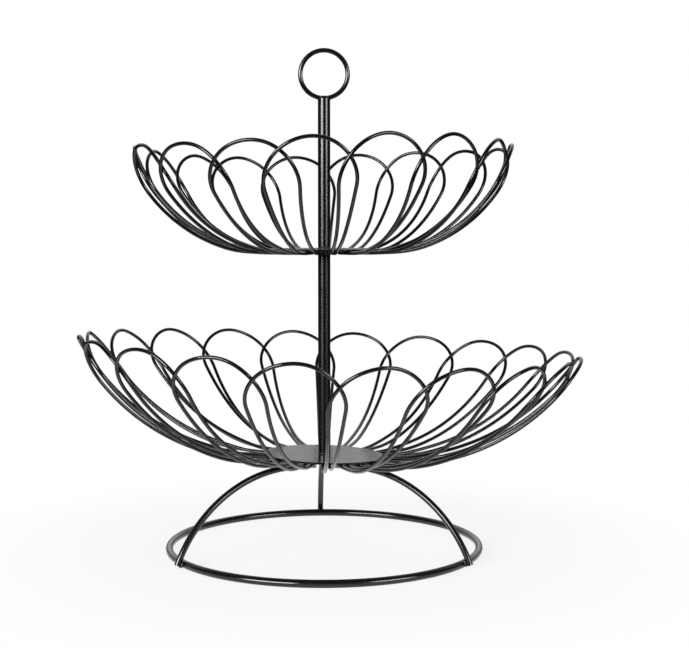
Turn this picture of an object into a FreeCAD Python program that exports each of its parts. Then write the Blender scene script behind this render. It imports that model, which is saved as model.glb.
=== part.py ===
import FreeCAD, Part
import os
from collections import namedtuple
from math import acos, asin, atan2, cos, degrees, hypot, pi, radians, sin, sqrt, tan

# A two-tier wire basket. A ring base on three arched legs carries two bowls of bent wire petals on a
# pole that screws together in two lengths, with a carrying ring on top. Millimetres, +Z up, the origin
# on the floor under the pole, the front towards -Y.

# Whole stand
stand_height = 316.0
lower_plate_height = 60.75
upper_plate_height = 191.05
weld_gap = 0.05

# Base: ring, legs, hub plate and the stud that the pole screws onto. The legs were set by eye, so they
# stand near even thirds of the ring, the back one first.
base_ring_radius = 98.4
base_ring_rod = 4.8
foot_flat = 0.2
leg_rod = 3.9
leg_places = (91.6, 211.3, 327.9)
leg_level_end = 25.0
leg_inner_end = 7.0
leg_play = 0.3
leg_floor_gap = 1.0
hub_plate_radius = 12.0
seat_play = 0.05
stud_rod = 4.0
thread_reach = 10.0
thread_play = 0.05

# Pole: two tubes with threaded inserts, and the soft washers under them
pole_diameter = 7.8
pole_wall = 0.8
pole_edge = 0.3
pole_top_round = 2.0
insert_length = 13.0
washer_thickness = 0.8
washer_play = 0.3
cap_depth = 6.0

# Handle ring, set in a groove across the top of the pole
handle_outer = 32.5
handle_rod = 2.9

# Bowl plates and petal wire
plate_thickness = 1.2
plate_edge = 0.4
plate_hole_play = 0.35
petal_wire = 2.2
petal_tuck = 13.0
weave_start_share = 0.5

# The petals were bent and set by hand, so neither bowl is quite even. Turns are how far each petal stands
# from its even place, in degrees, from the front one round to the right. Waves are how the rise varies
# round the rim: the number of waves, their height in degrees and the place of a crest.

# Lower bowl, which sits a little askew on the base, lowest to the right
lower_plate_radius = 38.0
lower_petal_length = 145.9
lower_tip_radius = 27.2
lower_root_half_width = 8.0
lower_rise = 61.8
lower_waves = ((1, 2.5, -132.0), (2, 0.8, 22.0))
lower_first_place = -98.5
lower_turns = (1.5, 1.5, 0.5, 0.5, -1, -1.5, -1, -0.5, -1, -0.5, 0.5, -1, -1, -0.5, 0, 1, 0, -0.5, 1, 2)
lower_lean = 2.1
lower_lean_place = 18.0

# Upper bowl
upper_plate_radius = 34.0
upper_petal_length = 114.6
upper_tip_radius = 25.8
upper_root_half_width = 8.4
upper_rise = 76.5
upper_waves = ((1, 2.8, 0.0), (2, 1.1, -42.0), (3, 2.2, -60.0))
upper_first_place = -92.0
upper_turns = (-2, -1.5, 0, 2.5, 0, 1, -0.5, 0, 0.5, 1, 0, -4, -3, -0.5, 0.5, 3, 2.5)

# Stations where the bent wire's arcs meet, on each straight side and on each half of the round tip
side_spans = 3
tip_spans = 4
tangent_step_share = 0.0001

# Sizes that follow from those above
UP = FreeCAD.Vector(0, 0, 1)
FRONT_TO_BACK = FreeCAD.Vector(0, 1, 0)
ORIGIN = FreeCAD.Vector(0, 0, 0)
wire_r = petal_wire / 2
leg_r = leg_rod / 2
ring_r = base_ring_rod / 2
stud_r = stud_rod / 2
pole_r = pole_diameter / 2
bore_r = pole_r - pole_wall
thread_r = stud_r + thread_play
handle_rod_r = handle_rod / 2
handle_radius = handle_outer / 2 - handle_rod_r

lean = radians(lower_lean)
lower_plate_bottom = lower_plate_height - plate_thickness
lower_wire_level = lower_plate_bottom - weld_gap - wire_r
hub_plate_top = lower_plate_bottom - hub_plate_radius * tan(lean) - seat_play
lowest_legward = max(cos(radians(place - lower_lean_place)) for place in leg_places)
wire_drop = lower_plate_radius * sin(lean) * lowest_legward
leg_level = lower_wire_level - wire_r - wire_drop - leg_play - leg_r
hub_plate_bottom = leg_level + leg_r + weld_gap
ring_level = ring_r - foot_flat

lower_washer_bottom = lower_plate_height + pole_r * tan(lean) + seat_play
lower_pole_bottom = lower_washer_bottom + washer_thickness
lower_pole_top = upper_plate_height - plate_thickness
upper_washer_bottom = upper_plate_height
upper_pole_bottom = upper_washer_bottom + washer_thickness
handle_level = stand_height - handle_outer / 2
upper_pole_top = handle_level - handle_radius + handle_rod_r

Bowl = namedtuple("Bowl", "plate_radius petal_length tip_radius root_half_width rise waves first_place turns")
lower_bowl = Bowl(lower_plate_radius, lower_petal_length, lower_tip_radius, lower_root_half_width,
                  lower_rise, lower_waves, lower_first_place, lower_turns)
upper_bowl = Bowl(upper_plate_radius, upper_petal_length, upper_tip_radius, upper_root_half_width,
                  upper_rise, upper_waves, upper_first_place, upper_turns)


def arc_edge(start, corner, end):
    """Arc from start to end, tangent to both legs of the corner between them, or a straight edge."""
    middle = (start + end) * 0.5
    half_chord = (end - start).Length / 2
    height = (corner - middle).Length
    bow = half_chord * tan(atan2(height, half_chord) / 2)
    if bow < tangent_step_share * half_chord:
        return Part.LineSegment(start, end).toShape()
    return Part.Arc(start, middle + (corner - middle) * (bow / height), end).toShape()


def biarc_edges(start, start_way, end, end_way):
    """Two tangent arcs that leave start along one unit vector and reach end along another."""
    chord = end - start
    both = start_way + end_way
    spread = 1 - start_way.dot(end_way)
    along = chord.dot(both)
    reach = chord.dot(chord) / (along + sqrt(along ** 2 + 2 * spread * chord.dot(chord)))
    first_corner = start + start_way * reach
    last_corner = end - end_way * reach
    meeting = (first_corner + last_corner) * 0.5
    return [arc_edge(start, first_corner, meeting), arc_edge(meeting, last_corner, end)]


def tube(edges, start, way, radius):
    """Round rod along a smooth chain of edges that begins at start in the direction way."""
    section = Part.Wire(Part.Circle(start, way, radius).toShape())
    return Part.Wire(edges).makePipeShell([section], True, False)


def ring(radius, rod_radius, centre, axis):
    """Closed round ring of rod."""
    return Part.makeTorus(radius, rod_radius, centre, axis)


def rod(radius, bottom, top):
    """Upright round bar on the pole's axis."""
    return Part.makeCylinder(radius, top - bottom, FreeCAD.Vector(0, 0, bottom))


def sleeve(outer, inner, bottom, top):
    """Upright tube on the pole's axis."""
    return rod(outer, bottom, top).cut(rod(inner, bottom, top))


def rims(solid):
    """The round edges of a plain disc or bar."""
    return [edge for edge in solid.Edges if isinstance(edge.Curve, Part.Circle)]


def level_of(edge):
    """Height of a round edge's middle."""
    return edge.Curve.Center.z


def base_ring():
    """Ring that stands on the floor, with a narrow flat where it touches."""
    whole = ring(base_ring_radius, ring_r, FreeCAD.Vector(0, 0, ring_level), UP)
    reach = base_ring_radius + base_ring_rod
    below = Part.makeBox(2 * reach, 2 * reach, base_ring_rod, FreeCAD.Vector(-reach, -reach, -base_ring_rod))
    return whole.cut(below)


def leg(place):
    """Rod that runs level under the hub plate, then arches down to the outside of the base ring."""
    beside_ring = ring_r + leg_r + weld_gap
    across = base_ring_radius - leg_level_end
    down = leg_level - ring_level
    arch = (across ** 2 + down ** 2 - beside_ring ** 2) / (2 * (down - beside_ring))
    sweep = acos((arch - leg_level + leg_floor_gap) / (arch - leg_r))

    def on_arch(turn):
        return FreeCAD.Vector(leg_level_end + arch * sin(turn), 0, leg_level - arch * (1 - cos(turn)))

    inner = FreeCAD.Vector(leg_inner_end, 0, leg_level)
    edges = [Part.LineSegment(inner, on_arch(0)).toShape(),
             Part.Arc(on_arch(0), on_arch(sweep / 2), on_arch(sweep)).toShape()]
    solid = tube(edges, inner, FreeCAD.Vector(1, 0, 0), leg_r)
    solid.rotate(ORIGIN, UP, place)
    return solid


def hub_plate():
    """Disc welded on the legs, which the lower bowl's plate sits on."""
    return sleeve(hub_plate_radius, stud_r, hub_plate_bottom, hub_plate_top)


def base_stud():
    """Threaded stud in the hub plate, which the lower pole screws onto."""
    return rod(stud_r, hub_plate_bottom, lower_pole_bottom + thread_reach)


def bowl_plate(radius, top):
    """Round plate with softened edges and a hole for the stud."""
    disc = rod(radius, top - plate_thickness, top)
    disc = disc.makeFillet(plate_edge, rims(disc))
    return disc.cut(rod(stud_r + plate_hole_play, top - plate_thickness, top))


def rise_at(bowl, place):
    """How far a bowl's wires have turned up from level at its rim, at one place round it, in radians."""
    return radians(bowl.rise + sum(height * cos(count * radians(place - crest))
                                   for count, height, crest in bowl.waves))


def petal(bowl, place):
    """One wire loop at its place round the pole, above its own level: flat under the plate, then bent up.

    Flat, the loop is a round tip and two straight sides that close in towards the plate. Its sides weave
    past the next petals: one side stands half a wire outside the bowl and the other half a wire inside,
    up to the last span before the plate.
    """
    tip = bowl.tip_radius
    centre = bowl.petal_length - tip
    span = hypot(centre, bowl.root_half_width)
    slope = asin(tip / span) - atan2(bowl.root_half_width, centre)
    tip_run = tip * (pi / 2 + slope)
    side_run = sqrt(span ** 2 - tip ** 2)
    root = tip_run + side_run
    even_bend = bowl.petal_length / radians(bowl.rise)
    weave = (wire_r + weld_gap) / cos(pi / len(bowl.turns))

    def weave_at(run):
        rise = sin(pi / 2 * min(1, abs(run) / (tip * weave_start_share)))
        last_span = side_run / side_spans
        left = min(last_span, max(0, root - abs(run)))
        fade = (1 - cos(pi * left / last_span)) / 2
        return weave * rise * fade

    def point(run):
        hand = 1 if run > 0 else -1
        turn = min(abs(run), tip_run) / tip
        past_tip = max(0, abs(run) - tip_run)
        along = centre + tip * cos(turn) - past_tip * cos(slope)
        across = tip * sin(turn) - past_tip * sin(slope)
        flat = bowl.plate_radius + min(along, 0)
        bent = max(along, 0)
        aside = atan2(hand * across, flat + even_bend * sin(bent / even_bend))
        bend_radius = bowl.petal_length / rise_at(bowl, place + degrees(aside))
        bend = bent / bend_radius
        outward = -hand * weave_at(run)
        return FreeCAD.Vector(flat + (bend_radius + outward) * sin(bend),
                              hand * across,
                              bend_radius - (bend_radius + outward) * cos(bend))

    def way(run):
        step = petal_wire * tangent_step_share
        return (point(run + step) - point(run - step)).normalize()

    half = [tip_run * i / tip_spans for i in range(tip_spans)]
    half += [tip_run + side_run * i / side_spans for i in range(side_spans + 1)]
    runs = [-run for run in reversed(half[1:])] + half
    end = root + petal_tuck / cos(slope)
    edges = [Part.LineSegment(point(-end), point(-root)).toShape()]
    for run, next_run in zip(runs, runs[1:]):
        edges += biarc_edges(point(run), way(run), point(next_run), way(next_run))
    edges.append(Part.LineSegment(point(root), point(end)).toShape())
    solid = tube(edges, point(-end), point(-root) - point(-end), wire_r)
    solid.rotate(ORIGIN, UP, place)
    return solid


def bowl_petals(bowl, level):
    """All the petals of a bowl, under its plate."""
    petals = []
    for i, turn in enumerate(bowl.turns):
        solid = petal(bowl, bowl.first_place + i * 360 / len(bowl.turns) + turn)
        solid.translate(UP * level)
        petals.append(solid)
    return petals


def leant(solid):
    """The lower bowl's pieces, tipped about the middle of its plate's underside."""
    across = FreeCAD.Vector(-sin(radians(lower_lean_place)), cos(radians(lower_lean_place)), 0)
    solid.rotate(FreeCAD.Vector(0, 0, lower_plate_bottom), across, lower_lean)
    return solid


def washer(bottom):
    """Soft washer between a plate and the pole that clamps it."""
    return sleeve(pole_r, stud_r + washer_play, bottom, bottom + washer_thickness)


def lower_pole():
    """Lower length of pole tube with its outer edges broken."""
    bar = rod(pole_r, lower_pole_bottom, lower_pole_top)
    bar = bar.makeChamfer(pole_edge, rims(bar))
    return bar.cut(rod(bore_r, lower_pole_bottom, lower_pole_top))


def insert(bottom):
    """Threaded insert pressed into one end of the lower pole."""
    return sleeve(bore_r, thread_r, bottom, bottom + insert_length)


def upper_stud():
    """Stud whose shank is pressed into the upper pole and whose thread goes down into the lower pole."""
    shank = rod(bore_r, upper_pole_bottom, upper_pole_bottom + insert_length)
    return shank.fuse(rod(stud_r, lower_pole_top - thread_reach, upper_pole_bottom)).removeSplitter()


def handle_ring():
    """Carrying ring that stands upright on the pole, facing front."""
    return ring(handle_radius, handle_rod_r, FreeCAD.Vector(0, 0, handle_level), FRONT_TO_BACK)


def upper_bar():
    """Upper length of pole as a solid bar: its top rounded over, and grooved for the carrying ring."""
    bar = rod(pole_r, upper_pole_bottom, upper_pole_top)
    bar = bar.makeFillet(pole_top_round, [max(rims(bar), key=level_of)])
    bar = bar.makeChamfer(pole_edge, [min(rims(bar), key=level_of)])
    groove = ring(handle_radius, handle_rod_r + weld_gap, FreeCAD.Vector(0, 0, handle_level), FRONT_TO_BACK)
    return bar.cut(groove)


def upper_pole():
    """Upper length of pole tube."""
    return upper_bar().cut(rod(bore_r, upper_pole_bottom, upper_pole_top))


def pole_cap():
    """Plug that closes the top of the upper pole under the carrying ring."""
    return upper_bar().common(rod(bore_r, upper_pole_top - cap_depth, upper_pole_top))


def all_pieces():
    """Every piece of the stand by its name."""
    pieces = {"base_ring": base_ring()}
    for name, place in zip(("leg_back", "leg_front_left", "leg_front_right"), leg_places):
        pieces[name] = leg(place)
    pieces["hub_plate"] = hub_plate()
    pieces["base_stud"] = base_stud()
    pieces["lower_plate"] = leant(bowl_plate(lower_plate_radius, lower_plate_height))
    for i, solid in enumerate(bowl_petals(lower_bowl, lower_wire_level)):
        pieces[f"lower_petal_{i + 1:02d}"] = leant(solid)
    pieces["lower_washer"] = washer(lower_washer_bottom)
    pieces["lower_pole"] = lower_pole()
    pieces["lower_pole_bottom_insert"] = insert(lower_pole_bottom)
    pieces["lower_pole_top_insert"] = insert(lower_pole_top - insert_length)
    pieces["upper_plate"] = bowl_plate(upper_plate_radius, upper_plate_height)
    for i, solid in enumerate(bowl_petals(upper_bowl, lower_pole_top - weld_gap - wire_r)):
        pieces[f"upper_petal_{i + 1:02d}"] = solid
    pieces["upper_washer"] = washer(upper_washer_bottom)
    pieces["upper_pole"] = upper_pole()
    pieces["upper_pole_stud"] = upper_stud()
    pieces["upper_pole_cap"] = pole_cap()
    pieces["handle_ring"] = handle_ring()
    return pieces


os.makedirs("parts", exist_ok=True)
for piece_name, piece in all_pieces().items():
    piece.exportStep(f"parts/{piece_name}.step")
    print(f"{piece_name}: {piece.Volume:.1f} mm3, {len(piece.Solids)} solid, valid {piece.isValid()}")
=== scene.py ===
from math import acos, cos, pi, radians, sin, sqrt, tau

import bmesh
import bpy
from bpy.props import FloatProperty, FloatVectorProperty, IntProperty, PointerProperty
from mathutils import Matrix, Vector
from mathutils.bvhtree import BVHTree


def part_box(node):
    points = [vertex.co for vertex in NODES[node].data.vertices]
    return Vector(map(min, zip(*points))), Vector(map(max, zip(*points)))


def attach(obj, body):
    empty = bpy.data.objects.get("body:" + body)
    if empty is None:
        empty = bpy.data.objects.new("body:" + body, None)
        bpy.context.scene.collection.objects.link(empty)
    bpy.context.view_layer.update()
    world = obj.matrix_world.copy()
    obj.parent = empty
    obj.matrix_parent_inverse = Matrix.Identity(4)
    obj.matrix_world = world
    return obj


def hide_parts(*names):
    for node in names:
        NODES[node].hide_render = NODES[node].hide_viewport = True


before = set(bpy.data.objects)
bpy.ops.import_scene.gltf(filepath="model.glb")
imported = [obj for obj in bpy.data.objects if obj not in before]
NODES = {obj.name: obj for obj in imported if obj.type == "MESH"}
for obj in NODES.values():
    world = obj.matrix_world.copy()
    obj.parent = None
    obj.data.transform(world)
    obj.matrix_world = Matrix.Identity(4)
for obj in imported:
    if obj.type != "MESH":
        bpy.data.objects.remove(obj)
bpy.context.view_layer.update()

bl_info = {
    "name": "Tiered wire basket",
    "version": (1, 0, 0),
    "blender": (4, 5, 0),
    "location": "View3D > Sidebar > Basket",
    "description": "Lacquers a two-tier wire basket, adds its welds and threads, and sets it on a floor",
    "category": "Object",
}

MM = 0.001

# Directions, as the camera sees them
UP = Vector((0, 0, 1))
RIGHT = Vector((1, 0, 0))
BACK = Vector((0, 1, 0))

# The frame's nodes in groups, and the record's material slots
BOWLS = {
    bowl: sorted(name for name in NODES if name.startswith(f"{bowl}_petal_"))
    for bowl in ("lower", "upper")
}
PLATES = [f"{bowl}_plate" for bowl in BOWLS]
LEGS = sorted(name for name in NODES if name.startswith("leg_"))

# A Mix node's sockets for colour go by number, because its other kinds have the same names
MIX_FACTOR = 0
MIX_ONE = 6
MIX_OTHER = 7
MIX_RESULT = 2

# Most of a noise texture's values lie between these two
NOISE_LOW = 0.3
NOISE_HIGH = 0.7

# The shader counts its highlight's turn in whole turns
QUARTER_TURN = 0.25
WHITE = (1, 1, 1, 1)

# Two surfaces that are stepped between have long settled after this many steps
MEETING_STEPS = 60

# Faces of one cut end lie closer together than this, and faces of two ends don't
END_SPREAD = 5 * MM

# A face is level where at least this share of its normal points up
LEVEL_SHARE = 0.9

# Mesh and ripples of a weld bead
BEAD_SIDES = 16
BEAD_STEPS = 14
RIPPLE_SHARE = 0.07


def linear(code):
    """An sRGB hex colour as linear red, green and blue."""
    parts = [int(code[i:i + 2], 16) / 255 for i in (1, 3, 5)]
    return [c / 12.92 if c <= 0.04045 else ((c + 0.055) / 1.055) ** 2.4 for c in parts]


def add(tree, kind, inputs, **settings):
    """A new node with its settings, and its inputs given as values or linked from other nodes' outputs."""
    node = tree.nodes.new(kind)
    for name, value in settings.items():
        setattr(node, name, value)
    for socket, value in inputs.items():
        if isinstance(value, bpy.types.NodeSocket):
            tree.links.new(value, node.inputs[socket])
        else:
            node.inputs[socket].default_value = value
    return node


def empty_material(name):
    """The material of that name, made where there is none yet, and its tree, emptied."""
    material = bpy.data.materials.get(name) or bpy.data.materials.new(name)
    material.use_nodes = True
    material.node_tree.nodes.clear()
    return material, material.node_tree


def lacquer(settings, name, roughness, grain, ringing=0.0):
    """Black stoving lacquer on steel: sprayed on and baked, so it lies smooth, with a faint orange peel.

    It gives the eye a near-black body under a clean gloss. The film is thicker in some patches than in
    others, and there it is blacker and shinier. The grain gives the patches their length on each axis, and
    the ringing is how far fine marks round the pole draw a reflection out along it.
    """
    material, tree = empty_material(name)
    place = add(tree, "ShaderNodeTexCoord", {}).outputs["Object"]
    along = add(tree, "ShaderNodeMapping", {"Vector": place, "Scale": [1 / length for length in grain]})
    film = add(tree, "ShaderNodeTexNoise", {"Vector": along.outputs["Vector"], "Scale": 1.0, "Detail": 3.0})
    shade = add(tree, "ShaderNodeMix", {
        MIX_FACTOR: film.outputs["Fac"], MIX_ONE: (*settings.thick_colour, 1),
        MIX_OTHER: (*settings.thin_colour, 1)}, data_type="RGBA")
    gloss = add(tree, "ShaderNodeMapRange", {
        "Value": film.outputs["Fac"], "From Min": NOISE_LOW, "From Max": NOISE_HIGH,
        "To Min": roughness - settings.roughness_spread, "To Max": roughness + settings.roughness_spread})
    peel = add(tree, "ShaderNodeTexNoise", {
        "Vector": place, "Scale": 1 / settings.peel_size, "Detail": 1.0})
    bump = add(tree, "ShaderNodeBump", {
        "Height": peel.outputs["Fac"], "Strength": 1.0, "Distance": settings.peel_height})
    around = add(tree, "ShaderNodeTangent", {}, direction_type="RADIAL", axis="Z")
    paint = add(tree, "ShaderNodeBsdfPrincipled", {
        "Base Color": shade.outputs[MIX_RESULT], "Roughness": gloss.outputs["Result"],
        "Normal": bump.outputs["Normal"], "IOR": settings.lacquer_ior, "Anisotropic": ringing,
        "Anisotropic Rotation": QUARTER_TURN, "Tangent": around.outputs["Tangent"]})
    add(tree, "ShaderNodeOutputMaterial", {"Surface": paint.outputs["BSDF"]})
    return material


def wire_lacquer(settings):
    """The lacquer as it lies on drawn wire and rod."""
    return lacquer(settings, "Stoved black lacquer on drawn steel wire", settings.wire_roughness,
                   [settings.film_patch] * 3)


def tube_lacquer(settings):
    """The lacquer as it lies on the pole's tube, which was ground round and hung upright to drain.

    The grinding draws the softboxes out into long bands along the pole, and the draining its patches.
    """
    return lacquer(settings, "Stoved black lacquer on ground steel tube", settings.tube_roughness,
                   [settings.film_patch, settings.film_patch, settings.tube_streak], settings.tube_ringing)


def sheet_lacquer(settings):
    """The lacquer as it lies on pressed sheet, where it runs out level and a little duller."""
    return lacquer(settings, "Stoved black lacquer on pressed steel sheet", settings.sheet_roughness,
                   [settings.sheet_patch] * 3)


def weld_lacquer(settings):
    """The lacquer as it lies over weld metal, dulled by the rough bead under it."""
    return lacquer(settings, "Stoved black lacquer over weld metal", settings.weld_roughness,
                   [settings.film_patch] * 3)


def zinc_plate(settings):
    """Bright zinc plating on rolled steel thread, passivated.

    It gives the eye a soft silver, with a faint straw tint and less gloss where the passivation is thick.
    """
    material, tree = empty_material("Bright zinc plating on rolled steel")
    place = add(tree, "ShaderNodeTexCoord", {}).outputs["Object"]
    patch = add(tree, "ShaderNodeTexNoise", {
        "Vector": place, "Scale": 1 / settings.tint_patch, "Detail": 2.0})
    shade = add(tree, "ShaderNodeMix", {
        MIX_FACTOR: patch.outputs["Fac"], MIX_ONE: (*settings.zinc_colour, 1),
        MIX_OTHER: (*settings.tint_colour, 1)}, data_type="RGBA")
    gloss = add(tree, "ShaderNodeMapRange", {
        "Value": patch.outputs["Fac"], "From Min": NOISE_LOW, "From Max": NOISE_HIGH,
        "To Min": settings.zinc_roughness, "To Max": settings.tint_roughness})
    metal = add(tree, "ShaderNodeBsdfPrincipled", {
        "Base Color": shade.outputs[MIX_RESULT], "Metallic": 1.0, "Roughness": gloss.outputs["Result"]})
    add(tree, "ShaderNodeOutputMaterial", {"Surface": metal.outputs["BSDF"]})
    return material


def washer_rubber(settings):
    """Moulded nitrile rubber: a matt charcoal to the eye, with the mould's grain and a trace of pale bloom.

    The grain of a real mould is too fine to show, so it is drawn coarser.
    """
    material, tree = empty_material("Moulded nitrile rubber")
    place = add(tree, "ShaderNodeTexCoord", {}).outputs["Object"]
    bloom = add(tree, "ShaderNodeTexNoise", {
        "Vector": place, "Scale": 1 / settings.bloom_patch, "Detail": 4.0})
    shade = add(tree, "ShaderNodeMix", {
        MIX_FACTOR: bloom.outputs["Fac"], MIX_ONE: (*settings.rubber_colour, 1),
        MIX_OTHER: (*settings.bloom_colour, 1)}, data_type="RGBA")
    dull = add(tree, "ShaderNodeMapRange", {
        "Value": bloom.outputs["Fac"],
        "To Min": settings.rubber_roughness, "To Max": settings.bloom_roughness})
    grain = add(tree, "ShaderNodeTexNoise", {"Vector": place, "Scale": 1 / settings.mould_grain})
    bump = add(tree, "ShaderNodeBump", {"Height": grain.outputs["Fac"], "Distance": settings.grain_height})
    rubber = add(tree, "ShaderNodeBsdfPrincipled", {
        "Base Color": shade.outputs[MIX_RESULT], "Roughness": dull.outputs["Result"],
        "Normal": bump.outputs["Normal"], "IOR": settings.rubber_ior})
    add(tree, "ShaderNodeOutputMaterial", {"Surface": rubber.outputs["BSDF"]})
    return material


def dress(names, material):
    """Puts a finish on pieces of the frame."""
    for name in names:
        NODES[name].material_slots[0].material = material


def piece(name, bm, material, body):
    """A new smooth piece of the object that moves with a body of the frame."""
    for face in bm.faces:
        face.smooth = True
    mesh = bpy.data.meshes.new(name)
    bm.to_mesh(mesh)
    bm.free()
    mesh.materials.append(material)
    made = bpy.data.objects.new(name, mesh)
    bpy.context.scene.collection.objects.link(made)
    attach(made, body)
    return made


def surface(name):
    """A search tree over the faces of a piece of the frame."""
    mesh = NODES[name].data
    return BVHTree.FromPolygons([v.co for v in mesh.vertices], [p.vertices for p in mesh.polygons])


def meeting(one, other, start):
    """Where two surfaces come closest near a point, found by stepping from one to the other."""
    on_other = start
    for _ in range(MEETING_STEPS):
        on_one = one.find_nearest(on_other)[0]
        on_other = other.find_nearest(on_one)[0]
    return on_one, on_other


def cut_ends(name):
    """The two cut ends of a wire or rod, nearest the pole first: middle, outward direction and radius."""
    mesh = NODES[name].data
    flats = [p for p in mesh.polygons if not p.use_smooth]
    if not flats:
        raise RuntimeError(f"{name} has no cut ends")
    first = flats[0].center
    ends = []
    for near in (True, False):
        group = [p for p in flats if ((p.center - first).length < END_SPREAD) == near]
        area = sum(p.area for p in group)
        middle = sum((p.center * p.area for p in group), Vector()) / area
        outward = sum((p.normal * p.area for p in group), Vector()).normalized()
        ends.append((middle, outward, sqrt(area / pi)))
    return sorted(ends, key=lambda end: end[0].xy.length)


def plate_up(name):
    """The direction that a plate of the frame faces."""
    level = [p for p in NODES[name].data.polygons if p.normal.z > LEVEL_SHARE]
    return sum((p.normal * p.area for p in level), Vector()).normalized()


def bead(bm, middle, along, out, half_length, half_width, half_height, ripples):
    """A lump of weld metal: long one way, rounded over, with the ripples that its cooling leaves.

    The ripples start at a place of their own in each bead, so that the beads aren't all alike.
    """
    across = along.cross(out).normalized()
    out = across.cross(along).normalized()
    verts = bmesh.ops.create_uvsphere(bm, u_segments=BEAD_SIDES, v_segments=BEAD_STEPS, radius=1.0)["verts"]
    for vert in verts:
        swell = 1 + RIPPLE_SHARE * cos(ripples * pi * vert.co.z + tau * middle.x / MM)
        vert.co = (middle + along * (vert.co.z * half_length)
                   + across * (vert.co.x * half_width * swell) + out * (vert.co.y * half_height * swell))


def bar(bm, rows):
    """A closed bar on the pole's axis through rows of heights and of radii all round it."""
    around = len(rows[0][1])
    rings = [[bm.verts.new((radius * cos(tau * i / around), radius * sin(tau * i / around), height))
              for i, radius in enumerate(radii)] for height, radii in rows]
    for low, high in zip(rings, rings[1:]):
        for i in range(around):
            j = (i + 1) % around
            bm.faces.new((low[i], low[j], high[j], high[i]))
    bm.faces.new(reversed(rings[0]))
    bm.faces.new(rings[-1])


def shank_rows(settings, radius, bottom, top):
    """Rows of a plain round shank from one height to another."""
    return [(height, [radius] * settings.thread_sides) for height in (bottom, top)]


def thread_rows(settings, radius, bottom, top):
    """Rows of a right-hand rolled thread from one height to another, run out at both ends."""
    count = round((top - bottom) / settings.pitch * settings.rows_per_turn)
    rows = []
    for k in range(count + 1):
        height = bottom + (top - bottom) * k / count
        run_out = min(1, (height - bottom) / settings.pitch, (top - height) / settings.pitch)
        radii = []
        for i in range(settings.thread_sides):
            turn = (height / settings.pitch - i / settings.thread_sides) % 1
            flank = (abs(2 * turn - 1) - settings.root_share) / settings.flank_share
            crest = min(1, max(0, flank))
            radii.append(radius - settings.thread_depth * (1 - crest * run_out))
        rows.append((height, radii))
    return rows


def hoop(bm, radius, rod, level, around, sides):
    """A level ring of round rod on the pole's axis, with a narrow flat where it stands on the floor."""
    flat = acos(level / rod)
    turns = [tau * k / around for k in range(around)]
    slants = [flat - pi / 2 + 2 * (pi - flat) * i / (sides - 1) for i in range(sides)]
    rings = []
    for turn in turns:
        out = Vector((cos(turn), sin(turn), 0))
        rings.append([bm.verts.new(out * (radius + rod * cos(slant)) + UP * (level + rod * sin(slant)))
                      for slant in slants])
    for here, there in zip(rings, rings[1:] + rings[:1]):
        for i in range(sides):
            bm.faces.new((here[i - 1], there[i - 1], there[i], here[i]))
        for i in (0, -1):
            bm.edges.get((here[i], there[i])).smooth = False


class LacquerSettings(bpy.types.PropertyGroup):
    """The black lacquer on the wire, tube and sheet."""

    thick_colour: FloatVectorProperty(
        name="Thick film", description="Colour of the lacquer where it lies thick",
        subtype="COLOR", min=0, max=1, default=linear("#040405"))
    thin_colour: FloatVectorProperty(
        name="Thin film", description="Colour of the lacquer where it lies thin",
        subtype="COLOR", min=0, max=1, default=linear("#0b0b0a"))
    wire_roughness: FloatProperty(
        name="Wire roughness", description="Mean roughness on wire and rod",
        subtype="FACTOR", min=0, max=1, default=0.16)
    tube_roughness: FloatProperty(
        name="Tube roughness", description="Mean roughness on the pole",
        subtype="FACTOR", min=0, max=1, default=0.21)
    tube_ringing: FloatProperty(
        name="Tube ringing", description="How far grinding draws out the pole's gloss",
        subtype="FACTOR", min=0, max=1, default=0.6)
    sheet_roughness: FloatProperty(
        name="Sheet roughness", description="Mean roughness on the plates",
        subtype="FACTOR", min=0, max=1, default=0.22)
    weld_roughness: FloatProperty(
        name="Weld roughness", description="Mean roughness over the welds",
        subtype="FACTOR", min=0, max=1, default=0.4)
    roughness_spread: FloatProperty(
        name="Roughness spread", description="How far the roughness varies each way",
        subtype="FACTOR", min=0, max=0.2, default=0.03)
    film_patch: FloatProperty(
        name="Film patch", description="Length of a thick or thin patch on wire",
        unit="LENGTH", min=1 * MM, default=7 * MM)
    tube_streak: FloatProperty(
        name="Tube streak", description="Length of a thick or thin streak along the pole",
        unit="LENGTH", min=1 * MM, default=60 * MM)
    sheet_patch: FloatProperty(
        name="Sheet patch", description="Length of a thick or thin patch on the plates",
        unit="LENGTH", min=1 * MM, default=12 * MM)
    peel_size: FloatProperty(
        name="Orange peel", description="Width of a ripple in the baked surface",
        unit="LENGTH", min=0.1 * MM, default=1.2 * MM)
    peel_height: FloatProperty(
        name="Orange peel height", description="Height of a ripple in the baked surface",
        unit="LENGTH", min=0, default=0.002 * MM)
    lacquer_ior: FloatProperty(
        name="Lacquer IOR", description="Refractive index of the baked resin",
        min=1, max=2, default=1.52)


class BaseSettings(bpy.types.PropertyGroup):
    """The ring that the basket stands on."""

    foot_flat: FloatProperty(
        name="Foot flat", description="Depth of the flat under the base ring",
        unit="LENGTH", min=0.05 * MM, default=0.2 * MM)
    ring_steps: IntProperty(
        name="Ring steps", description="Mesh steps round the base ring",
        min=24, default=240)
    rod_steps: IntProperty(
        name="Rod steps", description="Mesh steps round its rod",
        min=8, default=40)


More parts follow.
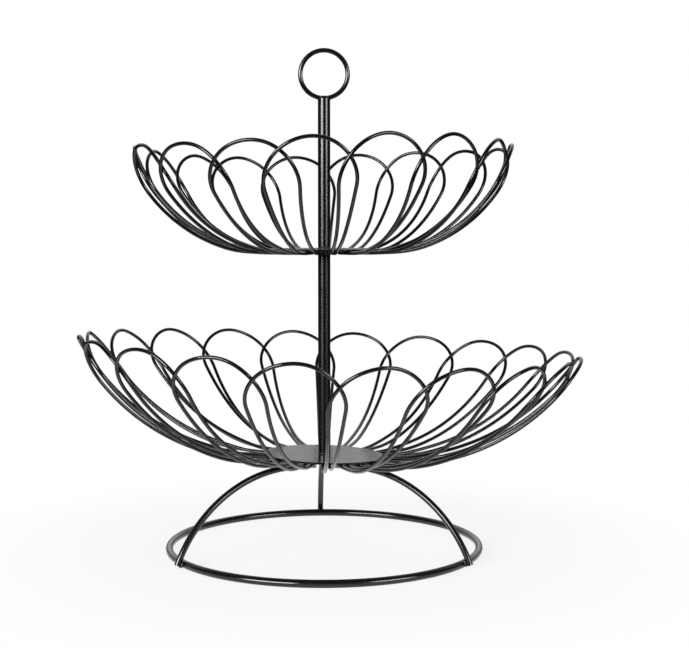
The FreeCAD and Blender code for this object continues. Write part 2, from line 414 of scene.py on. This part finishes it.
class WeldSettings(bpy.types.PropertyGroup):
    """The welds that hold the wires together."""

    root_length: FloatProperty(
        name="Petal weld length", description="Weld between a petal's end and its plate",
        unit="LENGTH", min=1 * MM, default=7 * MM)
    root_width: FloatProperty(
        name="Petal weld width", description="Width of that weld under the plate",
        unit="LENGTH", min=1 * MM, default=2.8 * MM)
    root_height: FloatProperty(
        name="Petal weld height", description="Height of that weld",
        unit="LENGTH", min=0.2 * MM, default=1.2 * MM)
    spot_size: FloatProperty(
        name="Spot weld", description="Length of the spot where two petals cross",
        unit="LENGTH", min=0.5 * MM, default=2.2 * MM)
    spot_height: FloatProperty(
        name="Spot weld height", description="Height of that spot between the wires",
        unit="LENGTH", min=0.2 * MM, default=1.0 * MM)
    foot_length: FloatProperty(
        name="Foot weld length", description="Weld along each side of a leg's foot",
        unit="LENGTH", min=1 * MM, default=4.4 * MM)
    foot_width: FloatProperty(
        name="Foot weld width", description="Width of that weld",
        unit="LENGTH", min=0.5 * MM, default=1.8 * MM)
    hub_length: FloatProperty(
        name="Hub weld length", description="Weld between a leg and the hub plate",
        unit="LENGTH", min=1 * MM, default=4.4 * MM)
    hub_height: FloatProperty(
        name="Hub weld height", description="Height of that weld",
        unit="LENGTH", min=0.2 * MM, default=1.2 * MM)
    ring_length: FloatProperty(
        name="Carrying ring weld", description="Weld along the ring on the pole's top",
        unit="LENGTH", min=1 * MM, default=4.0 * MM)
    ring_width: FloatProperty(
        name="Carrying ring weld width", description="Width of that weld",
        unit="LENGTH", min=0.5 * MM, default=1.7 * MM)


class ThreadSettings(bpy.types.PropertyGroup):
    """The zinc-plated threads that hold the pole together."""

    pitch: FloatProperty(
        name="Pitch", description="Rise of the thread in one turn",
        unit="LENGTH", min=0.3 * MM, default=0.7 * MM)
    thread_depth: FloatProperty(
        name="Depth", description="Depth of the thread",
        unit="LENGTH", min=0.1 * MM, default=0.38 * MM)
    root_share: FloatProperty(
        name="Root", description="Share of the pitch that its root takes",
        subtype="FACTOR", min=0, max=0.5, default=0.12)
    flank_share: FloatProperty(
        name="Flank", description="Share of the pitch that its flanks take",
        subtype="FACTOR", min=0.1, max=1, default=0.7)
    rows_per_turn: IntProperty(
        name="Rows per turn", description="Mesh rows in one turn of the thread",
        min=4, default=8)
    thread_sides: IntProperty(
        name="Thread sides", description="Mesh steps round the thread",
        min=8, default=40)
    zinc_colour: FloatVectorProperty(
        name="Zinc", description="Colour of the plating",
        subtype="COLOR", min=0, max=1, default=linear("#b4b8ba"))
    zinc_roughness: FloatProperty(
        name="Zinc roughness", description="Roughness of the plating",
        subtype="FACTOR", min=0, max=1, default=0.22)
    tint_colour: FloatVectorProperty(
        name="Passivation tint", description="Colour of its straw-tinted patches",
        subtype="COLOR", min=0, max=1, default=linear("#bdb79f"))
    tint_roughness: FloatProperty(
        name="Tint roughness", description="Roughness of those patches",
        subtype="FACTOR", min=0, max=1, default=0.4)
    tint_patch: FloatProperty(
        name="Tint patch", description="Width of a tinted patch",
        unit="LENGTH", min=0.5 * MM, default=4 * MM)


class WasherSettings(bpy.types.PropertyGroup):
    """The soft washers under the pole's two lengths."""

    rubber_colour: FloatVectorProperty(
        name="Rubber", description="Colour of the rubber",
        subtype="COLOR", min=0, max=1, default=linear("#161617"))
    rubber_roughness: FloatProperty(
        name="Rubber roughness", description="Roughness of the rubber",
        subtype="FACTOR", min=0, max=1, default=0.6)
    rubber_ior: FloatProperty(
        name="Rubber IOR", description="Refractive index of the rubber",
        min=1, max=2, default=1.52)
    bloom_colour: FloatVectorProperty(
        name="Bloom", description="Colour where it has bloomed",
        subtype="COLOR", min=0, max=1, default=linear("#2b2b2a"))
    bloom_roughness: FloatProperty(
        name="Bloom roughness", description="Roughness where it has bloomed",
        subtype="FACTOR", min=0, max=1, default=0.85)
    bloom_patch: FloatProperty(
        name="Bloom patch", description="Width of a bloomed patch",
        unit="LENGTH", min=0.2 * MM, default=2 * MM)
    mould_grain: FloatProperty(
        name="Mould grain", description="Width of the mould's grain",
        unit="LENGTH", min=0.05 * MM, default=0.25 * MM)
    grain_height: FloatProperty(
        name="Grain height", description="Height of the mould's grain",
        unit="LENGTH", min=0, default=0.025 * MM)


class StageSettings(bpy.types.PropertyGroup):
    """Floor, light and camera."""

    floor_colour: FloatVectorProperty(
        name="Floor", description="Colour of the floor",
        subtype="COLOR", min=0, max=1, default=linear("#f6f6f6"))
    floor_radius: FloatProperty(
        name="Floor radius", description="Size of the round floor",
        unit="LENGTH", min=0.2, default=0.3)
    floor_sides: IntProperty(
        name="Floor sides", description="Mesh steps round the floor",
        min=16, default=128)
    floor_drop: FloatProperty(
        name="Floor drop", description="How far the floor lies under the base ring",
        unit="LENGTH", min=0, default=0.1 * MM)
    shadow_radius: FloatProperty(
        name="Shadow radius", description="Where the floor has faded to white",
        unit="LENGTH", min=0.1, default=0.28)
    shadow_core: FloatProperty(
        name="Shadow core", description="Share of that radius before the fading starts",
        subtype="FACTOR", min=0, max=1, default=0.4)
    shadow_share: FloatProperty(
        name="Shadow share", description="How much of its shadow the floor shows",
        subtype="FACTOR", min=0, max=1, default=0.16)
    room_level: FloatProperty(
        name="Room", description="Brightness of the room at eye level",
        min=0, max=1, default=0.04)
    ceiling_level: FloatProperty(
        name="Ceiling", description="Brightness of the room overhead",
        min=0, max=1, default=0.1)
    wall_level: FloatProperty(
        name="Back wall", description="Brightness of the wall behind, above eye level",
        min=0, max=1, default=1.0)
    glow_start: FloatProperty(
        name="Glow start", description="Elevation where the dark room begins to lighten",
        subtype="ANGLE", default=radians(4.6))
    glow_full: FloatProperty(
        name="Glow full", description="Elevation from which it is fully lit",
        subtype="ANGLE", default=radians(10))
    wall_start: FloatProperty(
        name="Wall start", description="Turn from the side where the back wall begins",
        subtype="ANGLE", default=radians(11.5))
    wall_full: FloatProperty(
        name="Wall full", description="Turn from the side where it is fully lit",
        subtype="ANGLE", default=radians(53))
    light_colour: FloatVectorProperty(
        name="Softbox colour", description="Colour of the softboxes' light",
        subtype="COLOR", min=0, max=1, default=linear("#fffdf9"))
    softbox_distance: FloatProperty(
        name="Softbox distance", description="From the pole to each softbox",
        unit="LENGTH", min=0.5, default=3.0)
    softbox_bottom: FloatProperty(
        name="Softbox bottom", description="Height of their lower edge",
        unit="LENGTH", min=0, default=0.38)
    softbox_top: FloatProperty(
        name="Softbox top", description="Height of their upper edge",
        unit="LENGTH", min=0.1, default=1.34)
    left_turn: FloatProperty(
        name="Left turn", description="How far left of the camera the left one stands",
        subtype="ANGLE", default=radians(39))
    left_width: FloatProperty(
        name="Left width", description="Width of the left softbox",
        unit="LENGTH", min=0.1, default=1.95)
    left_power: FloatProperty(
        name="Left softbox", description="Power of the left softbox",
        unit="POWER", min=0, default=130)
    right_turn: FloatProperty(
        name="Right turn", description="How far right of the camera the right one stands",
        subtype="ANGLE", default=radians(48))
    right_width: FloatProperty(
        name="Right width", description="Width of the right softbox",
        unit="LENGTH", min=0.1, default=1.6)
    right_power: FloatProperty(
        name="Right softbox", description="Power of the right softbox",
        unit="POWER", min=0, default=62)
    camera_place: FloatVectorProperty(
        name="Camera", description="Where the camera stands",
        subtype="TRANSLATION", unit="LENGTH", default=(0, -0.8736, 0.2057))
    camera_pitch: FloatProperty(
        name="Pitch", description="How far the camera looks down",
        subtype="ANGLE", default=radians(4.08))
    camera_yaw: FloatProperty(
        name="Yaw", description="How far the camera looks to the right",
        subtype="ANGLE", default=radians(0.84))
    camera_lens: FloatProperty(
        name="Lens", description="Focal length of the camera",
        unit="CAMERA", min=10, default=72.35)
    camera_sensor: FloatProperty(
        name="Sensor", description="Width of the camera's sensor",
        unit="CAMERA", min=10, default=36)


class BASKET_OT_base(bpy.types.Operator):
    """Lacquer the base ring, the legs and the hub plate, and weld them together"""

    bl_idname = "basket.base"
    bl_label = "Base"

    # Beads at a foot lie to either side of where it meets the ring and a little nearer the pole, by shares of
    # the leg's radius. A bead at the hub lies back from the leg's end by a share of its own length, and is
    # narrower than the leg.
    foot_side_share = 0.62
    foot_in_share = 0.1
    hub_back_share = 0.6
    hub_width_share = 0.8

    def execute(self, context):
        paint = context.scene.basket_lacquer
        dress(LEGS, wire_lacquer(paint))
        dress(["hub_plate"], sheet_lacquer(paint))
        ring = self.ring(context.scene.basket_base)
        made = piece("base_ring_rod", ring, wire_lacquer(paint), "base")
        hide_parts("base_ring")
        welds = self.welds(context.scene.basket_welds)
        piece("leg_welds", welds, weld_lacquer(paint), "base")
        return {"FINISHED"}

    def ring(self, base):
        """The base ring in an even mesh, on which its long highlight runs unbroken."""
        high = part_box("base_ring")[1]
        rod = (high.z + base.foot_flat) / 2
        bm = bmesh.new()
        hoop(bm, high.x - rod, rod, rod - base.foot_flat, base.ring_steps, base.rod_steps)
        return bm

    def welds(self, weld):
        """Two beads at each leg's foot and one where it meets the hub plate."""
        ring = surface("base_ring")
        bm = bmesh.new()
        for name in LEGS:
            (inner, inward, radius), (foot, down, _) = cut_ends(name)
            on_ring, on_leg = meeting(ring, surface(name), foot)
            tangent = UP.cross(on_ring).normalized()
            to_pole = tangent.cross(down)
            for hand in (-1, 1):
                middle = (on_leg + tangent * (hand * self.foot_side_share * radius)
                          + to_pole * (self.foot_in_share * radius))
                bead(bm, middle, -down, (to_pole + tangent * hand).normalized(), weld.foot_length / 2,
                     weld.foot_width / 2, weld.foot_width / 2, ripples=5)
            middle = inner - inward * (self.hub_back_share * weld.hub_length) + UP * radius
            bead(bm, middle, inward, UP, weld.hub_length / 2, self.hub_width_share * radius,
                 weld.hub_height / 2, ripples=4)
        return bm


class BASKET_OT_petals(bpy.types.Operator):
    """Lacquer the wire petals of both bowls, and weld them to their plates and where they cross"""

    bl_idname = "basket.petals"
    bl_label = "Petals"

    # A root's bead lies back from the wire's end by a share of its own length
    root_back_share = 0.6

    # Petals cross above this share of their rise, and every few points there are enough to start from
    rim_share = 0.6
    rim_stride = 4

    def execute(self, context):
        paint = context.scene.basket_lacquer
        weld = context.scene.basket_welds
        for bowl, names in BOWLS.items():
            dress(names, wire_lacquer(paint))
            roots = self.root_welds(weld, names, plate_up(f"{bowl}_plate"))
            piece(f"{bowl}_petal_welds", roots, weld_lacquer(paint), f"{bowl}_basket")
            spots = self.crossing_welds(weld, names)
            piece(f"{bowl}_crossing_welds", spots, weld_lacquer(paint), f"{bowl}_basket")
        return {"FINISHED"}

    def root_welds(self, weld, names, up):
        """A bead between each end of each petal and the plate above it."""
        bm = bmesh.new()
        for name in names:
            for end, inward, radius in cut_ends(name):
                middle = end - inward * (self.root_back_share * weld.root_length) + up * radius
                bead(bm, middle, inward, up, weld.root_length / 2, weld.root_width / 2,
                     weld.root_height / 2, ripples=4)
        return bm

    def crossing_welds(self, weld, names):
        """A spot where each petal touches the next one, near the bowl's rim."""
        bm = bmesh.new()
        trees = [surface(name) for name in names]
        for i, name in enumerate(names):
            following = trees[(i + 1) % len(names)]
            low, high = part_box(name)
            rim_level = low.z + self.rim_share * (high.z - low.z)
            rim = [v.co for v in NODES[name].data.vertices if v.co.z > rim_level]
            start = min(rim[::self.rim_stride], key=lambda co: following.find_nearest(co)[3])
            here, there = meeting(trees[i], following, start)
            out = (there - here).normalized()
            along = out.cross(UP).normalized()
            bead(bm, (here + there) / 2, along, out, weld.spot_size / 2, weld.spot_size / 2,
                 weld.spot_height / 2, ripples=0)
        return bm


class BASKET_OT_plates(bpy.types.Operator):
    """Lacquer the round plates in the middle of the bowls"""

    bl_idname = "basket.plates"
    bl_label = "Plates"

    def execute(self, context):
        dress(PLATES, sheet_lacquer(context.scene.basket_lacquer))
        return {"FINISHED"}


class BASKET_OT_pole(bpy.types.Operator):
    """Lacquer the two lengths of the pole and the plug in its top"""

    bl_idname = "basket.pole"
    bl_label = "Pole"

    def execute(self, context):
        dress(["lower_pole", "upper_pole", "upper_pole_cap"], tube_lacquer(context.scene.basket_lacquer))
        return {"FINISHED"}


class BASKET_OT_carrying_ring(bpy.types.Operator):
    """Lacquer the carrying ring and weld it into the groove on the pole's top"""

    bl_idname = "basket.carrying_ring"
    bl_label = "Carrying ring"

    # Beads on the pole's top lie before and behind the ring. Their places are shares of its rod's radius,
    # and their height is a share of their width.
    top_along_share = 0.1
    top_out_share = 1.35
    top_sink_share = 0.35
    top_height_share = 0.35

    # Beads at the groove's ends lie out by a share of the pole's radius. Their rise and length are shares of
    # the rod's radius, and they are narrower than those on top.
    end_out_share = 0.93
    end_rise_share = 0.7
    end_length_share = 0.9
    end_width_share = 0.4

    def execute(self, context):
        paint = context.scene.basket_lacquer
        dress(["handle_ring"], wire_lacquer(paint))
        welds = self.welds(context.scene.basket_welds)
        piece("carrying_ring_weld", welds, weld_lacquer(paint), "top_pole")
        return {"FINISHED"}

    def welds(self, weld):
        """Two beads along the ring on the pole's top, and one at each end of the groove."""
        pole_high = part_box("upper_pole")[1]
        ring_low, ring_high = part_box("handle_ring")
        rod = (ring_high.y - ring_low.y) / 2
        end_width = self.end_width_share * weld.ring_width
        bm = bmesh.new()
        for hand in (-1, 1):
            top = Vector((self.top_along_share * hand * rod, self.top_out_share * hand * rod,
                          pole_high.z - self.top_sink_share * rod))
            bead(bm, top, RIGHT, UP, weld.ring_length / 2, weld.ring_width / 2,
                 self.top_height_share * weld.ring_width, ripples=5)
            end = Vector((self.end_out_share * hand * pole_high.x, 0,
                          ring_low.z + self.end_rise_share * rod))
            bead(bm, end, BACK, RIGHT * hand, self.end_length_share * rod, end_width, end_width, ripples=3)
        return bm


class BASKET_OT_threads(bpy.types.Operator):
    """Cut real threads on the studs and plate them and their inserts with zinc"""

    bl_idname = "basket.threads"
    bl_label = "Threads"

    def execute(self, context):
        thread = context.scene.basket_threads
        zinc = zinc_plate(thread)
        dress(["lower_pole_bottom_insert", "lower_pole_top_insert"], zinc)
        stud_low, stud_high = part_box("base_stud")
        hub_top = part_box("hub_plate")[1].z
        bm = bmesh.new()
        bar(bm, shank_rows(thread, stud_high.x, stud_low.z, hub_top)
            + thread_rows(thread, stud_high.x, hub_top + thread.pitch / 2, stud_high.z))
        made = piece("base_stud_thread", bm, zinc, "base")
        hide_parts("base_stud")
        low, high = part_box("upper_pole_stud")
        pole_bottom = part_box("upper_pole")[0].z
        bm = bmesh.new()
        bar(bm, thread_rows(thread, stud_high.x, low.z, pole_bottom - thread.pitch / 2)
            + shank_rows(thread, high.x, pole_bottom, high.z))
        made = piece("upper_pole_thread", bm, zinc, "top_pole")
        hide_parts("upper_pole_stud")
        return {"FINISHED"}


class BASKET_OT_washers(bpy.types.Operator):
    """Give the soft washers their rubber"""

    bl_idname = "basket.washers"
    bl_label = "Washers"

    def execute(self, context):
        dress(["lower_washer", "upper_washer"], washer_rubber(context.scene.basket_washers))
        return {"FINISHED"}


class BASKET_OT_stage(bpy.types.Operator):
    """Set the floor, the white sweep, the softboxes and the camera"""

    bl_idname = "basket.stage"
    bl_label = "Stage"

    def execute(self, context):
        scene = context.scene
        stage = scene.basket_stage
        scene.view_settings.view_transform = "Standard"
        self.floor(scene, stage)
        self.sweep(scene, stage)
        flagged = self.flag(PLATES)
        for name, turn, width, power in (
                ("left_softbox", -stage.left_turn, stage.left_width, stage.left_power),
                ("right_softbox", stage.right_turn, stage.right_width, stage.right_power)):
            box = self.softbox(scene, stage, name, turn, width, power)
            box.light_linking.receiver_collection = flagged
        self.camera(scene, stage)
        return {"FINISHED"}

    def floor(self, scene, stage):
        """A round matt white floor that keeps a soft shadow and fades to pure white around it."""
        material, tree = empty_material("Matt white painted board")
        place = add(tree, "ShaderNodeTexCoord", {}).outputs["Object"]
        far = add(tree, "ShaderNodeVectorMath", {0: place}, operation="LENGTH")
        white = add(tree, "ShaderNodeMapRange", {
            "Value": far.outputs["Value"], "From Min": stage.shadow_core * stage.shadow_radius,
            "From Max": stage.shadow_radius, "To Min": 1 - stage.shadow_share, "To Max": 1.0},
            interpolation_type="SMOOTHSTEP")
        path = add(tree, "ShaderNodeLightPath", {})
        mirrored = add(tree, "ShaderNodeMath", {
            0: path.outputs["Is Camera Ray"], 1: path.outputs["Is Glossy Ray"]}, operation="MAXIMUM")
        clear = add(tree, "ShaderNodeMath", {
            0: mirrored.outputs["Value"], 1: path.outputs["Is Transmission Ray"]}, operation="MAXIMUM")
        seen = add(tree, "ShaderNodeMath", {
            0: clear.outputs["Value"], 1: white.outputs["Result"]}, operation="MULTIPLY")
        matt = add(tree, "ShaderNodeBsdfDiffuse", {"Color": (*stage.floor_colour, 1)})
        glow = add(tree, "ShaderNodeEmission", {"Color": WHITE, "Strength": 1.0})
        mix = add(tree, "ShaderNodeMixShader", {
            0: seen.outputs["Value"], 1: matt.outputs["BSDF"], 2: glow.outputs["Emission"]})
        add(tree, "ShaderNodeOutputMaterial", {"Surface": mix.outputs["Shader"]})
        bm = bmesh.new()
        bmesh.ops.create_circle(bm, cap_ends=True, segments=stage.floor_sides, radius=stage.floor_radius)
        mesh = bpy.data.meshes.new("floor")
        bm.to_mesh(mesh)
        bm.free()
        mesh.materials.append(material)
        board = bpy.data.objects.new("floor", mesh)
        board.location.z = -stage.floor_drop
        scene.collection.objects.link(board)

    def sweep(self, scene, stage):
        """White all round to the camera, also through glass, and to the rest a dim room with a lit back wall.

        Black lacquer that mirrored a white sweep would be grey along the edges of every wire. The dim room
        at eye level keeps them black, and the lit wall gives the plates and the bowls' wires their gloss.
        """
        world = bpy.data.worlds.new("white sweep")
        world.use_nodes = True
        tree = world.node_tree
        tree.nodes.clear()
        way = add(tree, "ShaderNodeTexCoord", {}).outputs["Generated"]
        split = add(tree, "ShaderNodeSeparateXYZ", {"Vector": way})
        above = add(tree, "ShaderNodeMapRange", {
            "Value": split.outputs["Y"],
            "From Min": sin(stage.wall_start), "From Max": sin(stage.wall_full),
            "To Min": stage.ceiling_level, "To Max": stage.wall_level}, interpolation_type="SMOOTHSTEP")
        room = add(tree, "ShaderNodeMapRange", {
            "Value": split.outputs["Z"],
            "From Min": sin(stage.glow_start), "From Max": sin(stage.glow_full),
            "To Min": stage.room_level, "To Max": above.outputs["Result"]}, interpolation_type="SMOOTHSTEP")
        path = add(tree, "ShaderNodeLightPath", {})
        seen = add(tree, "ShaderNodeMath", {
            0: path.outputs["Is Camera Ray"], 1: path.outputs["Is Transmission Ray"]}, operation="MAXIMUM")
        level = add(tree, "ShaderNodeMath", {
            0: seen.outputs["Value"], 1: room.outputs["Result"]}, operation="MAXIMUM")
        light = add(tree, "ShaderNodeBackground", {"Color": WHITE, "Strength": level.outputs["Value"]})
        add(tree, "ShaderNodeOutputWorld", {"Surface": light.outputs["Background"]})
        scene.world = world

    def flag(self, names):
        """A list of the frame's pieces that a light leaves out, as a flag on a stand would shade them.

        Seen from behind, the level plates would mirror a softbox as pure white and look like holes.
        """
        flagged = bpy.data.collections.new("flagged from the softboxes")
        for name in names:
            flagged.objects.link(NODES[name])
        for entry in flagged.collection_objects:
            entry.light_linking.link_state = "EXCLUDE"
        return flagged

    def softbox(self, scene, stage, name, turn, width, power):
        """A softbox that stands a turn to the right of the camera and faces the pole."""
        light = bpy.data.lights.new(name, "AREA")
        light.shape = "RECTANGLE"
        light.size = width
        light.size_y = stage.softbox_top - stage.softbox_bottom
        light.energy = power
        light.color = stage.light_colour
        spot = stage.softbox_distance * Vector((sin(turn), -cos(turn), 0))
        box = bpy.data.objects.new(name, light)
        box.location = spot + UP * (stage.softbox_bottom + stage.softbox_top) / 2
        box.rotation_euler = (-spot).to_track_quat("-Z", "Y").to_euler()
        box.visible_camera = False
        scene.collection.objects.link(box)
        return box

    def camera(self, scene, stage):
        """A camera in front of the basket, a little above its middle."""
        lens = bpy.data.cameras.new("camera")
        lens.sensor_fit = "HORIZONTAL"
        lens.sensor_width = stage.camera_sensor
        lens.lens = stage.camera_lens
        camera = bpy.data.objects.new("camera", lens)
        camera.location = stage.camera_place
        camera.rotation_euler = (pi / 2 - stage.camera_pitch, 0, -stage.camera_yaw)
        scene.collection.objects.link(camera)
        scene.camera = camera


SETTINGS = {
    "basket_lacquer": LacquerSettings, "basket_base": BaseSettings, "basket_welds": WeldSettings,
    "basket_threads": ThreadSettings, "basket_washers": WasherSettings, "basket_stage": StageSettings,
}
OPERATORS = (BASKET_OT_base, BASKET_OT_petals, BASKET_OT_plates, BASKET_OT_pole, BASKET_OT_carrying_ring,
             BASKET_OT_threads, BASKET_OT_washers, BASKET_OT_stage)


class BASKET_PT_sidebar(bpy.types.Panel):
    """The basket's sizes, finishes and steps"""

    bl_label = "Tiered wire basket"
    bl_idname = "BASKET_PT_sidebar"
    bl_space_type = "VIEW_3D"
    bl_region_type = "UI"
    bl_category = "Basket"

    def draw(self, context):
        for name, group in SETTINGS.items():
            box = self.layout.box()
            for setting in group.__annotations__:
                box.prop(getattr(context.scene, name), setting)
        for operator in OPERATORS:
            self.layout.operator(operator.bl_idname)


def register():
    """Adds the classes and the settings to Blender."""
    for cls in (*SETTINGS.values(), *OPERATORS, BASKET_PT_sidebar):
        bpy.utils.register_class(cls)
    for name, group in SETTINGS.items():
        setattr(bpy.types.Scene, name, PointerProperty(type=group))


def unregister():
    """Takes them out again."""
    for name in SETTINGS:
        delattr(bpy.types.Scene, name)
    for cls in reversed((*SETTINGS.values(), *OPERATORS, BASKET_PT_sidebar)):
        bpy.utils.unregister_class(cls)


def main():
    """Builds the dressed basket on its stage."""
    register()
    bpy.ops.basket.base()
    bpy.ops.basket.petals()
    bpy.ops.basket.plates()
    bpy.ops.basket.pole()
    bpy.ops.basket.carrying_ring()
    bpy.ops.basket.threads()
    bpy.ops.basket.washers()
    bpy.ops.basket.stage()


if __name__ == "__main__":
    main()
